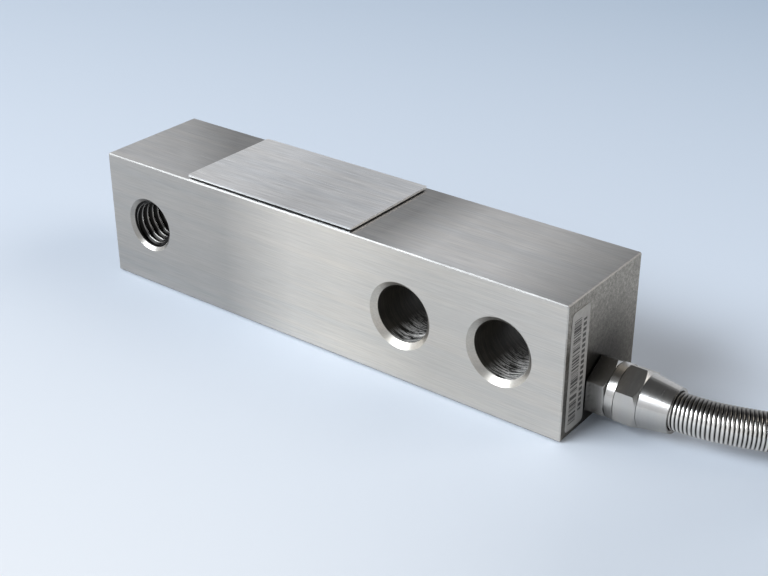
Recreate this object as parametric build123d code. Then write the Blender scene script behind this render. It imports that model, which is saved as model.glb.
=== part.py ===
"""Shear beam load cell: a milled stainless steel block with a threaded load hole, two mounting bores,
a strain gauge pocket under a bonded cover plate, and an armoured lead that leaves through a gland.

Millimetres. The origin is the middle of the underside, +X runs along the beam towards the gland,
+Y runs from the holed front face into the depth, and +Z is up.
"""

import math
import os

from build123d import *

# The block, milled from bar.
BEAM_LENGTH = 130.0
BEAM_WIDTH = 30.0  # along Y, the length of the cross holes
BEAM_HEIGHT = 31.8
EDGE_BREAK = 0.25

# The cross holes, on the middle height of the block.
LOAD_HOLE_MARGIN = 12.7  # from the free end to the axis of the load hole
LOAD_HOLE_DIAMETER = 12.0  # major diameter of the M12 thread
LOAD_HOLE_CHAMFER = 0.85
BORE_DIAMETER = 13.5  # clears an M12 bolt
BORE_CHAMFER = 1.3
BORE_SPACING = 25.4
BORE_MARGIN = 15.7  # from the gland end to the axis of the nearer bore

# The two gauge pockets, milled from above and below, leave a thin web on the middle height.
POCKET_LENGTH = 36.0
POCKET_WIDTH = 20.0
POCKET_CORNER = 4.0
WEB_THICKNESS = 5.0
WEB_HOLE_DIAMETER = 2.4

# Covers: the upper one stands on the top face, the lower one fills a rebate in the underside.
COVER_THICKNESS = 0.5
COVER_CORNER = 0.3
COVER_OVERLAP = 6.4  # how far the upper cover passes each end of its pocket
COVER_INSET = 0.9  # from the long edges of the top face
SEAL_THICKNESS = 0.35
SEAL_INSET = 0.45  # from the outline of the cover
SEAL_LAND = 1.0  # from the pocket to the seal's inner edge
LOWER_OVERLAP = 5.0
LOWER_LAND = 3.5  # width of the rebate's ledge beside the pocket
REBATE_CLEARANCE = 0.15

# Strain gauges, their leads and the board.
GAUGE_LENGTH = 10.0
GAUGE_WIDTH = 8.0
GAUGE_BACKING = 0.1
GAUGE_FOIL = 0.06
GRID_LINES = 5
GRID_LINE_WIDTH = 0.35
GRID_LINE_LENGTH = 3.0
GRID_LINE_PITCH = 0.7
GRID_OFFSET = 2.0  # from the middle of the gauge to the middle of each grid
GRID_ANGLE = 45.0
LEAD_DIAMETER = 0.3
LEAD_PITCH = 0.45
LEAD_LAP = 0.6  # of a lead over its gauge
SOLDER_LAP = 0.9  # of a lead under the board
BOARD_WIDTH = 16.0
BOARD_THICKNESS = 1.0
BOARD_MARGIN = 0.3
BOARD_WALL_GAP = 1.0  # to the pocket's end wall
PAD_THICKNESS = 1.0
PAD_INSET = 1.0
RESISTOR_LENGTH = 2.0
RESISTOR_WIDTH = 1.2
RESISTOR_HEIGHT = 0.5
RESISTOR_PITCH = 2.2
RESISTOR_INSET = 1.2  # from the board's edge to the middle of the first
UPPER_POTTING_DEPTH = 3.0
LOWER_POTTING_DEPTH = 5.0
CORE_DIAMETER = 0.9
CORE_PITCH = 1.0
CORE_BEND = 0.6
CORE_WALL_GAP = 2.2  # from the pocket's end wall to the middle of the drop
CORE_LAP = 2.4  # of a core under the board
CORE_END_GAP = 0.2  # before the jacket, where the cores fan in

# The cable channel and the gland.
CHANNEL_DIAMETER = 3.2
CHANNEL_HEIGHT = 6.2
GLAND_HEIGHT = 7.1
GLAND_THREAD_DIAMETER = 8.0
GLAND_HOLE_DEPTH = 7.0
GLAND_STUB_GAP = 0.5  # from the threaded stub to the bottom of its hole
THREAD_CLEARANCE = 0.05
WASHER_THICKNESS = 0.35
WASHER_DIAMETER = 11.0
HEX_ACROSS_FLATS = 12.0
BODY_HEX_LENGTH = 4.25
HEX_CHAMFER = 0.45
HEX_CORNER_CUT = 0.15  # how far the turned chamfer bites into the flats
SPIGOT_DIAMETER = 8.8
SPIGOT_LENGTH = 5.0
NUT_GAP = 0.1
COLLAR_DIAMETER = 12.4
COLLAR_LENGTH = 1.9
NUT_HEX_LENGTH = 5.1
NUT_CHAMFER = 0.8
NUT_FRONT_WALL = 1.5
SEAL_RING_DIAMETER = 7.3
SEAL_RING_LENGTH = 3.4
SLIP_RING_THICKNESS = 0.5
FERRULE_LARGE_DIAMETER = 11.8
FERRULE_SMALL_DIAMETER = 9.9
FERRULE_LENGTH = 6.4
FERRULE_NECK_DIAMETER = 7.8
FERRULE_SOCKET_DEPTH = 4.0
FERRULE_MOUTH_CHAMFER = 0.3
FIT_CLEARANCE = 0.05

# The lead: an inner jacketed cable inside a close-wound stainless spring.
JACKET_DIAMETER = 4.8
ARMOUR_DIAMETER = 8.2
JACKET_START = 4.5  # from the end face, inward
BEND_SHARE = 0.45  # of the shorter neighbouring run, taken up by a bend

# The coil that holds the length not in use, tied, beside the beam's gland end.
COIL_MIDDLE_DIAMETER = 82.0
COIL_COLUMNS = 2
COIL_ROWS = 6
COIL_CENTRE = (169.2, -10.8)
COIL_ENTRY_ANGLE = 117.0  # where the lead joins the outermost turn, degrees from +X
COIL_END_ANGLE = 82.0  # where the armour ends on the top row
COIL_OPEN_ANGLE = -78.0  # the top outer row is empty from the end angle down to here
COIL_CORNER = 3.5
SHIFT_SPAN = 60.0  # degrees over which a turn moves from one column to the other
SHIFT_POINTS = 8
SHIFT_LAP = 2.0  # degrees that the shifting turn runs on into the outer column
SHIFT_CLEARANCE = 0.05  # under the top of the row
TIE_THICKNESS = 1.1
TIE_WIDTH = 3.6
TIE_CLEARANCE = 0.1
TIE_ANGLES = (100.0, 185.0, 270.0)
TIE_HEAD = (5.0, 5.0, 4.0)  # outward, along the turn and up
FLOOR_CLEARANCE = 0.05

# The free end of the lead, which lies in the empty part of the top row.
SLEEVE_DIAMETER = 9.2
SLEEVE_LENGTH = 12.0
TAIL_SPAN = 56.0  # degrees of the inner cable's bare jacket
CONDUCTOR_DIAMETER = 1.1
CONDUCTOR_SPANS = (38.0, 42.0, 40.0, 45.0, 37.0)
CONDUCTOR_NAMES = ("lead_red", "lead_black", "lead_green", "lead_white", "lead_shield")
TIP_DIAMETER = 0.6
TIP_SPAN = 7.0

# The printed foil label on the end face.
LABEL_WIDTH = 7.1
LABEL_LENGTH = 28.0
LABEL_THICKNESS = 0.08
LABEL_CORNER = 1.0
LABEL_GAP = 0.2  # to the flat of the gland's hexagon
LABEL_LIFT = 1.2  # from the lower edge

HALF_LENGTH = BEAM_LENGTH / 2
HALF_WIDTH = BEAM_WIDTH / 2
MIDDLE = BEAM_HEIGHT / 2
LOAD_X = -HALF_LENGTH + LOAD_HOLE_MARGIN
BORE_XS = (HALF_LENGTH - BORE_MARGIN - BORE_SPACING, HALF_LENGTH - BORE_MARGIN)
POCKET_X = (LOAD_X + BORE_XS[0]) / 2
WEB_TOP = MIDDLE + WEB_THICKNESS / 2
WEB_BOTTOM = MIDDLE - WEB_THICKNESS / 2
REBATE_DEPTH = SEAL_THICKNESS + COVER_THICKNESS
LEAD_HOLE_X = POCKET_X + GAUGE_LENGTH / 2 + BOARD_MARGIN + WEB_HOLE_DIAMETER / 2
BOARD_START = LEAD_HOLE_X + WEB_HOLE_DIAMETER / 2 + BOARD_MARGIN
BOARD_LENGTH = POCKET_X + POCKET_LENGTH / 2 - BOARD_WALL_GAP - BOARD_START
BOARD_X = BOARD_START + BOARD_LENGTH / 2
BOARD_UNDER = WEB_BOTTOM - PAD_THICKNESS - BOARD_THICKNESS
BODY_START = HALF_LENGTH + WASHER_THICKNESS
NUT_START = BODY_START + BODY_HEX_LENGTH + NUT_GAP
NUT_END = NUT_START + COLLAR_LENGTH + NUT_HEX_LENGTH
FERRULE_START = NUT_END + NUT_GAP
FERRULE_END = FERRULE_START + FERRULE_LENGTH
ARMOUR_START = FERRULE_END - FERRULE_SOCKET_DEPTH
SPIGOT_END = BODY_START + BODY_HEX_LENGTH + SPIGOT_LENGTH
COIL_MIDDLE = COIL_MIDDLE_DIAMETER / 2
COIL_HALF = COIL_COLUMNS * ARMOUR_DIAMETER / 2
COIL_BASE = TIE_THICKNESS + TIE_CLEARANCE + FLOOR_CLEARANCE
COIL_TOP = COIL_BASE + COIL_ROWS * ARMOUR_DIAMETER
ROW_TOP = COIL_TOP - ARMOUR_DIAMETER  # the floor of the top row
OUTER_TURN = COIL_MIDDLE + COIL_HALF - ARMOUR_DIAMETER / 2
INNER_TURN = OUTER_TURN - ARMOUR_DIAMETER


def along_x(radius, start, end, y=0.0, z=GLAND_HEIGHT):
    """A cylinder along X between two stations."""
    placed = Plane(origin=(start, y, z), z_dir=(1, 0, 0))
    return extrude(placed * Circle(radius), end - start)


def hexagon(start, length):
    """A hexagonal bar with flats to the front and back and a corner on top."""
    placed = Plane(origin=(start, 0, GLAND_HEIGHT), x_dir=(0, 1, 0), z_dir=(1, 0, 0))
    return extrude(placed * RegularPolygon(HEX_ACROSS_FLATS / 2, 6, major_radius=False, rotation=30), length)


def corner_cone(start, length, turned, chamfer_start, chamfer_end):
    """The turned blank that rounds a hexagon's corners at one or both ends."""
    blank = along_x(turned, start, start + length)
    faces = blank.faces().sort_by(Axis.X)
    cut = turned - HEX_ACROSS_FLATS / 2 + HEX_CORNER_CUT
    if chamfer_end:
        blank = chamfer(faces[-1].edges(), chamfer_end, cut)
    if chamfer_start:
        blank = chamfer(blank.faces().sort_by(Axis.X)[0].edges(), chamfer_start, cut)
    return blank


def cross_hole(x, diameter, rim):
    """The cutter for a hole along Y with a chamfer at both faces."""
    hole = Pos(x, 0, MIDDLE) * Rot(90, 0, 0) * Cylinder(diameter / 2, BEAM_WIDTH + 2)
    for side in (-1, 1):
        mouth = Cone(diameter / 2 + rim, diameter / 2, rim)
        hole += Pos(x, side * (HALF_WIDTH - rim / 2), MIDDLE) * Rot(side * 90, 0, 0) * mouth
    return hole


def pocket(length, width, corner, low, high):
    """A block with rounded corners on the pocket's centre, between two heights."""
    outline = Pos(POCKET_X, 0, low) * RectangleRounded(length, width, corner)
    return extrude(outline, high - low, dir=(0, 0, 1))


def make_beam():
    block = Pos(0, 0, MIDDLE) * Box(BEAM_LENGTH, BEAM_WIDTH, BEAM_HEIGHT)
    block = chamfer(block.edges(), EDGE_BREAK)
    block -= cross_hole(LOAD_X, LOAD_HOLE_DIAMETER, LOAD_HOLE_CHAMFER)
    for x in BORE_XS:
        block -= cross_hole(x, BORE_DIAMETER, BORE_CHAMFER)
    block -= pocket(POCKET_LENGTH, POCKET_WIDTH, POCKET_CORNER, WEB_TOP, BEAM_HEIGHT + 1)
    block -= pocket(POCKET_LENGTH, POCKET_WIDTH, POCKET_CORNER, -1, WEB_BOTTOM)
    rebate = (POCKET_LENGTH + 2 * LOWER_OVERLAP, POCKET_WIDTH + 2 * LOWER_LAND)
    block -= pocket(rebate[0], rebate[1], COVER_CORNER, -1, REBATE_DEPTH)
    block -= Pos(LEAD_HOLE_X, 0, MIDDLE) * Cylinder(WEB_HOLE_DIAMETER / 2, WEB_THICKNESS + 1)
    hole_bottom = HALF_LENGTH - GLAND_HOLE_DEPTH
    block -= along_x(CHANNEL_DIAMETER / 2, POCKET_X, hole_bottom + 1, z=CHANNEL_HEIGHT)
    block -= along_x(GLAND_THREAD_DIAMETER / 2, hole_bottom, HALF_LENGTH + 1)
    return block


def make_upper_cover():
    low = BEAM_HEIGHT + SEAL_THICKNESS
    length = POCKET_LENGTH + 2 * COVER_OVERLAP
    width = BEAM_WIDTH - 2 * COVER_INSET
    plate = pocket(length, width, COVER_CORNER, low, low + COVER_THICKNESS)
    outline = (length - 2 * SEAL_INSET, width - 2 * SEAL_INSET, COVER_CORNER)
    seal = pocket(*outline, BEAM_HEIGHT, low)
    opening = (POCKET_LENGTH + 2 * SEAL_LAND, POCKET_WIDTH + 2 * SEAL_LAND, POCKET_CORNER)
    seal -= pocket(*opening, BEAM_HEIGHT - 1, low + 1)
    return plate, seal


def make_lower_cover():
    length = POCKET_LENGTH + 2 * (LOWER_OVERLAP - REBATE_CLEARANCE)
    width = POCKET_WIDTH + 2 * (LOWER_LAND - REBATE_CLEARANCE)
    plate = pocket(length, width, COVER_CORNER, 0, COVER_THICKNESS)
    outline = (length - 2 * SEAL_INSET, width - 2 * SEAL_INSET, COVER_CORNER)
    seal = pocket(*outline, COVER_THICKNESS, REBATE_DEPTH)
    opening = (POCKET_LENGTH + 2 * SEAL_LAND, POCKET_WIDTH + 2 * SEAL_LAND, POCKET_CORNER)
    seal -= pocket(*opening, COVER_THICKNESS - 1, REBATE_DEPTH + 1)
    return plate, seal


def make_gauge(surface, up):
    """A shear gauge: a film with two grids of foil, each at 45 degrees to the beam's length."""
    turn = 1 if up else -1
    film = Box(GAUGE_LENGTH, GAUGE_WIDTH, GAUGE_BACKING)
    gauge = Pos(POCKET_X, 0, surface + turn * GAUGE_BACKING / 2) * film
    foil_z = surface + turn * (GAUGE_BACKING + GAUGE_FOIL / 2)
    for side in (-1, 1):
        grid = Pos(POCKET_X + side * GRID_OFFSET, 0, foil_z) * Rot(0, 0, side * GRID_ANGLE)
        for step in range(GRID_LINES):
            across = (step - (GRID_LINES - 1) / 2) * GRID_LINE_PITCH
            gauge += grid * Pos(0, across, 0) * Box(GRID_LINE_LENGTH, GRID_LINE_WIDTH, GAUGE_FOIL)
    return gauge


def wire(points, diameter, radius):
    """A round wire along straight runs joined by arcs."""
    path = FilletPolyline(*points, radius=radius)
    start = Plane(origin=path @ 0, z_dir=path % 0)
    return sweep(start * Circle(diameter / 2), path=path)


def make_gauge_leads():
    """Four enamelled leads from each gauge, past the board's edge to its lower face."""
    above = WEB_TOP + GAUGE_BACKING + GAUGE_FOIL + LEAD_DIAMETER
    below = WEB_BOTTOM - GAUGE_BACKING - GAUGE_FOIL - LEAD_DIAMETER
    solder = BOARD_UNDER - LEAD_DIAMETER / 2
    start = POCKET_X + GAUGE_LENGTH / 2 - LEAD_LAP
    end = BOARD_START + SOLDER_LAP
    upper, lower = [], []
    for step in (-1.5, -0.5, 0.5, 1.5):
        y = step * LEAD_PITCH
        down = [(start, y, above), (LEAD_HOLE_X, y, above), (LEAD_HOLE_X, y, solder), (end, y, solder)]
        upper.append(wire(down, LEAD_DIAMETER, LEAD_DIAMETER))
        y = math.copysign(GAUGE_WIDTH / 4 + abs(step) * LEAD_PITCH, step)
        side = [(start, y, below), (LEAD_HOLE_X, y, below), (LEAD_HOLE_X, y, solder), (end, y, solder)]
        lower.append(wire(side, LEAD_DIAMETER, LEAD_DIAMETER))
    return upper, lower


def make_board():
    """The balance board, bonded under the web by a soft pad, with its trim resistors."""
    pad_size = (BOARD_LENGTH - 2 * PAD_INSET, BOARD_WIDTH - 2 * PAD_INSET)
    pad = Pos(BOARD_X, 0, WEB_BOTTOM - PAD_THICKNESS / 2) * Box(*pad_size, PAD_THICKNESS)
    board = Pos(BOARD_X, 0, BOARD_UNDER + BOARD_THICKNESS / 2)
    board = board * Box(BOARD_LENGTH, BOARD_WIDTH, BOARD_THICKNESS)
    resistors = []
    for side in (-1, 1):
        for step in (0, 1):
            y = side * (BOARD_WIDTH / 2 - RESISTOR_INSET - step * RESISTOR_PITCH)
            body = Box(RESISTOR_LENGTH, RESISTOR_WIDTH, RESISTOR_HEIGHT)
            resistors.append(Pos(BOARD_X, y, BOARD_UNDER - RESISTOR_HEIGHT / 2) * body)
    return pad, board, resistors


def make_core_wires():
    """Four insulated cores from the board, down the channel and into the jacket's end."""
    cores = []
    board_z = BOARD_UNDER - CORE_DIAMETER / 2
    jacket_x = HALF_LENGTH - JACKET_START
    for side in (-1, 1):
        for level in (-1, 1):
            y = side * CORE_PITCH / 2
            rise = level * CORE_PITCH / 2
            drop = POCKET_X + POCKET_LENGTH / 2 - CORE_WALL_GAP + level * CORE_PITCH
            points = [
                (drop - CORE_LAP + level * CORE_PITCH, y, board_z),
                (drop, y, board_z),
                (drop, y, CHANNEL_HEIGHT + rise),
                (HALF_LENGTH - GLAND_HOLE_DEPTH, y, CHANNEL_HEIGHT + rise),
                (jacket_x - CORE_END_GAP, y, GLAND_HEIGHT + rise),
            ]
            cores.append(wire(points, CORE_DIAMETER, CORE_BEND))
    return cores


def make_potting(leads, board_pieces, cores, gauges):
    """Silicone gel on both faces of the web, cast round what is bonded and soldered there."""
    inset = FIT_CLEARANCE
    size = (POCKET_LENGTH - 2 * inset, POCKET_WIDTH - 2 * inset, POCKET_CORNER)
    upper = pocket(*size, WEB_TOP, WEB_TOP + UPPER_POTTING_DEPTH)
    lower = pocket(*size, WEB_BOTTOM - LOWER_POTTING_DEPTH, WEB_BOTTOM)
    upper -= gauges[0]
    for piece in leads[0]:
        upper -= piece
        lower -= piece
    for piece in [gauges[1], *leads[1], *board_pieces, *cores]:
        lower -= piece
    return upper, lower


def make_gland():
    """The gland's body, nut, seals and armour ferrule, all turned about one axis."""
    passage = JACKET_DIAMETER / 2 + 2 * FIT_CLEARANCE
    stub = GLAND_THREAD_DIAMETER / 2 - THREAD_CLEARANCE
    face = HALF_LENGTH
    washer = along_x(WASHER_DIAMETER / 2, face, BODY_START)
    washer -= along_x(GLAND_THREAD_DIAMETER / 2, face - 1, BODY_START + 1)

    turned = HEX_ACROSS_FLATS / math.sqrt(3)
    body = hexagon(BODY_START, BODY_HEX_LENGTH)
    body &= corner_cone(BODY_START, BODY_HEX_LENGTH, turned, 0, HEX_CHAMFER)
    body += along_x(stub, face - GLAND_HOLE_DEPTH + GLAND_STUB_GAP, BODY_START)
    body += along_x(SPIGOT_DIAMETER / 2, BODY_START + BODY_HEX_LENGTH, SPIGOT_END)
    body -= along_x(passage, face - GLAND_HOLE_DEPTH, SPIGOT_END + 1)
    seat = SPIGOT_END - SEAL_RING_LENGTH - FIT_CLEARANCE
    body -= along_x(SEAL_RING_DIAMETER / 2 + FIT_CLEARANCE, seat, SPIGOT_END + 1)

    ring = along_x(SEAL_RING_DIAMETER / 2, seat + FIT_CLEARANCE, SPIGOT_END)
    ring -= along_x(JACKET_DIAMETER / 2, seat, SPIGOT_END + 1)
    slip_start = SPIGOT_END + FIT_CLEARANCE
    slip_end = slip_start + SLIP_RING_THICKNESS
    slip = along_x(SPIGOT_DIAMETER / 2 - FIT_CLEARANCE, slip_start, slip_end)
    slip -= along_x(passage, slip_start - 1, slip_end + 1)

    hex_start = NUT_START + COLLAR_LENGTH
    nut = hexagon(hex_start, NUT_HEX_LENGTH)
    nut &= corner_cone(hex_start, NUT_HEX_LENGTH, turned, HEX_CHAMFER, NUT_CHAMFER)
    nut += along_x(COLLAR_DIAMETER / 2, NUT_START, hex_start)
    nut -= along_x(SPIGOT_DIAMETER / 2 + THREAD_CLEARANCE, NUT_START - 1, NUT_END - NUT_FRONT_WALL)
    nut -= along_x(FERRULE_NECK_DIAMETER / 2 + FIT_CLEARANCE, NUT_START, NUT_END + 1)

    neck_start = slip_end + FIT_CLEARANCE
    profile = Polyline(
        (neck_start, passage),
        (neck_start, FERRULE_NECK_DIAMETER / 2),
        (FERRULE_START, FERRULE_NECK_DIAMETER / 2),
        (FERRULE_START, FERRULE_LARGE_DIAMETER / 2),
        (FERRULE_END, FERRULE_SMALL_DIAMETER / 2),
        (FERRULE_END, ARMOUR_DIAMETER / 2 + FIT_CLEARANCE + FERRULE_MOUTH_CHAMFER),
        (FERRULE_END - FERRULE_MOUTH_CHAMFER, ARMOUR_DIAMETER / 2 + FIT_CLEARANCE),
        (ARMOUR_START, ARMOUR_DIAMETER / 2 + FIT_CLEARANCE),
        (ARMOUR_START, passage),
        close=True,
    )
    section = Plane.XZ * make_face(profile)
    ferrule = Pos(0, 0, GLAND_HEIGHT) * revolve(section, Axis.X)
    jacket = along_x(JACKET_DIAMETER / 2, HALF_LENGTH - JACKET_START, ARMOUR_START)
    return washer, body, ring, slip, nut, ferrule, jacket


def lead_route():
    """The lead's route from the ferrule's socket to the coil, chosen point by point."""
    return [
        (ARMOUR_START, 0.0, GLAND_HEIGHT),
        (86.5, 0.0, GLAND_HEIGHT),
        (95.2, 2.2, 6.9),
        (107.6, 8.6, 5.85),
        (116.38, 12.91, COIL_BASE + ARMOUR_DIAMETER / 2),
        (124.13, 16.86, COIL_BASE + ARMOUR_DIAMETER / 2),
    ]


def make_armour_tube():
    points = [Vector(*p) for p in lead_route()]
    runs = [b - a for a, b in zip(points, points[1:])]
    radii = []
    for before, after in zip(runs, runs[1:]):
        half_turn = math.radians(before.get_angle(after)) / 2
        radii.append(BEND_SHARE * min(before.length, after.length) / math.tan(half_turn))
    path = FilletPolyline(*points, radius=radii)
    start = Plane(origin=path @ 0, z_dir=path % 0)
    tube = sweep(start * Circle(ARMOUR_DIAMETER / 2), path=path)
    print("armour tube radii", [round(r, 1) for r in radii], "length", round(path.length, 2))
    straight_volume = math.pi * (ARMOUR_DIAMETER / 2) ** 2 * path.length
    print("volume / section x length", round(tube.volume / straight_volume, 5))
    return tube, path


def coil_section(inner, outer, low, high, corner):
    """A rounded rectangle in the XZ plane, radius from the coil's axis against height."""
    middle = ((inner + outer) / 2, (low + high) / 2)
    return Plane.XZ * Pos(*middle) * RectangleRounded(outer - inner, high - low, corner)


def turned_about_coil(section, start, span):
    """A section swept clockwise, seen from above, about the coil's axis."""
    swept = revolve(section, Axis.Z, revolution_arc=span)
    return Pos(*COIL_CENTRE, 0) * Rot(0, 0, start - span) * swept


def coil_point(radius, angle, z):
    """A point at a radius and an angle in degrees about the coil's axis."""
    turned = math.radians(angle)
    return (COIL_CENTRE[0] + radius * math.cos(turned), COIL_CENTRE[1] + radius * math.sin(turned), z)


def make_shifting_turn():
    """The top row's turn where it eases over from the inner column to the outer one."""
    z = COIL_TOP - ARMOUR_DIAMETER / 2
    points = []
    for step in range(SHIFT_POINTS + 1):
        share = step / SHIFT_POINTS
        eased = share * share * (3 - 2 * share)
        angle = COIL_OPEN_ANGLE + SHIFT_SPAN * (1 - share)
        points.append(coil_point(INNER_TURN + (OUTER_TURN - INNER_TURN) * eased, angle, z))
    points.append(coil_point(OUTER_TURN, COIL_OPEN_ANGLE - SHIFT_LAP, z))
    path = Spline(*points)
    start = Plane(origin=path @ 0, z_dir=path % 0)
    return sweep(start * Circle(ARMOUR_DIAMETER / 2 - SHIFT_CLEARANCE), path=path)


def make_armour_coil(path):
    inner = COIL_MIDDLE - COIL_HALF
    outer = COIL_MIDDLE + COIL_HALF
    ring = turned_about_coil(coil_section(inner, outer, COIL_BASE, COIL_TOP, COIL_CORNER), 0, 360)
    open_span = COIL_END_ANGLE - COIL_OPEN_ANGLE
    empty = Plane.XZ * Pos(outer, COIL_TOP) * Rectangle(2 * ARMOUR_DIAMETER, 2 * ARMOUR_DIAMETER)
    ring -= turned_about_coil(empty, COIL_END_ANGLE, open_span)
    joint = path @ 1
    run = Vector(*coil_point(OUTER_TURN, COIL_ENTRY_ANGLE, joint.Z)) - joint
    stub = extrude(Plane(origin=joint, z_dir=run) * Circle(ARMOUR_DIAMETER / 2), run.length)
    return ring + stub + make_shifting_turn()


def make_ties():
    inner = COIL_MIDDLE - COIL_HALF - TIE_CLEARANCE
    outer = COIL_MIDDLE + COIL_HALF + TIE_CLEARANCE
    low = COIL_BASE - TIE_CLEARANCE
    high = COIL_TOP + TIE_CLEARANCE
    thick = TIE_THICKNESS
    opening = coil_section(inner, outer, low, high, COIL_CORNER)
    strap = coil_section(inner - thick, outer + thick, low - thick, high + thick, COIL_CORNER + thick)
    band = extrude(strap - opening, TIE_WIDTH / 2, both=True)
    head = Pos(outer + TIE_HEAD[0] / 2, 0, high - COIL_CORNER - TIE_HEAD[2]) * Box(*TIE_HEAD)
    tie = band + head
    return [Pos(*COIL_CENTRE, 0) * Rot(0, 0, angle) * tie for angle in TIE_ANGLES]


def make_free_end():
    """The end sleeve, the bare jacket and the five stripped conductors, laid in the top row."""
    sleeve_turn = COIL_MIDDLE + SLEEVE_DIAMETER / 2 + TIE_CLEARANCE
    sleeve_z = ROW_TOP + SLEEVE_DIAMETER / 2 + FLOOR_CLEARANCE
    sleeve_span = math.degrees(SLEEVE_LENGTH / sleeve_turn)
    section = Plane.XZ * Pos(sleeve_turn, sleeve_z) * Circle(SLEEVE_DIAMETER / 2)
    sleeve = turned_about_coil(section, COIL_END_ANGLE, sleeve_span)

    jacket_start = COIL_END_ANGLE - sleeve_span
    jacket_z = ROW_TOP + JACKET_DIAMETER / 2 + FLOOR_CLEARANCE
    section = Plane.XZ * Pos(sleeve_turn, jacket_z) * Circle(JACKET_DIAMETER / 2)
    tail = turned_about_coil(section, jacket_start, TAIL_SPAN)

    conductors, tips = [], []
    start = jacket_start - TAIL_SPAN
    pitch = CONDUCTOR_DIAMETER + 2 * FIT_CLEARANCE
    for place, span in enumerate(CONDUCTOR_SPANS):
        radius = sleeve_turn + (place - 2) * pitch
        z = ROW_TOP + CONDUCTOR_DIAMETER / 2 + FLOOR_CLEARANCE
        section = Plane.XZ * Pos(radius, z) * Circle(CONDUCTOR_DIAMETER / 2)
        conductors.append(turned_about_coil(section, start, span))
        section = Plane.XZ * Pos(radius, z) * Circle(TIP_DIAMETER / 2)
        tips.append(turned_about_coil(section, start - span, TIP_SPAN))
    return sleeve, tail, conductors, tips


def make_label():
    y = -(HEX_ACROSS_FLATS / 2 + LABEL_GAP + LABEL_WIDTH / 2)
    z = LABEL_LIFT + LABEL_LENGTH / 2
    placed = Plane(origin=(HALF_LENGTH, y, z), x_dir=(0, 1, 0), z_dir=(1, 0, 0))
    return extrude(placed * RectangleRounded(LABEL_WIDTH, LABEL_LENGTH, LABEL_CORNER), LABEL_THICKNESS)


def write(name, shape):
    """One STEP file per node; a list of alike pieces becomes one node of several solids."""
    if isinstance(shape, list):
        shape = Compound(children=[solid for piece in shape for solid in piece.solids()])
    export_step(shape, f"parts/{name}.step")


def main():
    os.makedirs("parts", exist_ok=True)
    write("beam", make_beam())
    cover, seal = make_upper_cover()
    write("cover_plate", cover)
    write("cover_seal", seal)
    lower_cover, lower_seal = make_lower_cover()
    write("lower_cover", lower_cover)
    write("lower_seal", lower_seal)

    gauges = (make_gauge(WEB_TOP, True), make_gauge(WEB_BOTTOM, False))
    leads = make_gauge_leads()
    pad, board, resistors = make_board()
    cores = make_core_wires()
    upper_potting, lower_potting = make_potting(leads, [pad, board, *resistors], cores, gauges)
    write("upper_gauge", gauges[0])
    write("lower_gauge", gauges[1])
    write("upper_gauge_leads", leads[0])
    write("lower_gauge_leads", leads[1])
    write("board_pad", pad)
    write("balance_board", board)
    write("trim_resistors", resistors)
    write("core_wires", cores)
    write("upper_potting", upper_potting)
    write("lower_potting", lower_potting)

    washer, body, ring, slip, nut, ferrule, jacket = make_gland()
    write("gland_washer", washer)
    write("gland_body", body)
    write("gland_seal", ring)
    write("slip_ring", slip)
    write("gland_nut", nut)
    write("armour_ferrule", ferrule)
    write("inner_jacket", jacket)

    tube, path = make_armour_tube()
    write("armour_tube", tube)
    write("armour_coil", make_armour_coil(path))
    write("coil_ties", make_ties())
    sleeve, tail, conductors, tips = make_free_end()
    write("end_sleeve", sleeve)
    write("jacket_tail", tail)
    for name, conductor in zip(CONDUCTOR_NAMES, conductors):
        write(name, conductor)
    write("lead_tips", tips)
    write("rating_label", make_label())


main()
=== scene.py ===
"""The dressed shear beam load cell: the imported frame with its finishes, the load hole's thread, the lead's
wound wire sheath and the studio.

Metres, in the frame's own axes: +X runs along the beam to the gland, +Y into the depth, +Z up.
"""

import math

import bpy
import numpy as np
from mathutils import Matrix, Vector


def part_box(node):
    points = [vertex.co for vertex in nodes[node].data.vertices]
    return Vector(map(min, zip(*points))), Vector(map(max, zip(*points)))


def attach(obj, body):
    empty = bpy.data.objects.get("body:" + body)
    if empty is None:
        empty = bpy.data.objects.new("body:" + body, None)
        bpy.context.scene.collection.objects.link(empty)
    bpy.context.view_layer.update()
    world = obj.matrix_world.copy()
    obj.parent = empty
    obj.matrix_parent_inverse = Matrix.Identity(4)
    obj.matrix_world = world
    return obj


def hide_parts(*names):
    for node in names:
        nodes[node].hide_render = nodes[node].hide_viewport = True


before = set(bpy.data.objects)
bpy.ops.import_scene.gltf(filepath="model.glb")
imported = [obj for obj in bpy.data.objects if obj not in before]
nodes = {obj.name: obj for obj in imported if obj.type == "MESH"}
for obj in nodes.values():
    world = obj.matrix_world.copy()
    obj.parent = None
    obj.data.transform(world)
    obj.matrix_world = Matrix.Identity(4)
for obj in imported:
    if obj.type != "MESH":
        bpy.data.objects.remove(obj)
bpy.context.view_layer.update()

# The studio: a wide sheet of pale blue paper, its colour painted darker with distance as painted shade, lit
# by a cool window and by a warm wall that throws some light back, and seen from the photograph's place.
CAMERA_AZIMUTH = 37.271
CAMERA_ELEVATION = 27.895
CAMERA_ROLL = -0.0804
CAMERA_PLACE = (0.17796, -0.22277, 0.15971)
CAMERA_LENS = 64.349
CAMERA_SENSOR = 36.0

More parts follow.
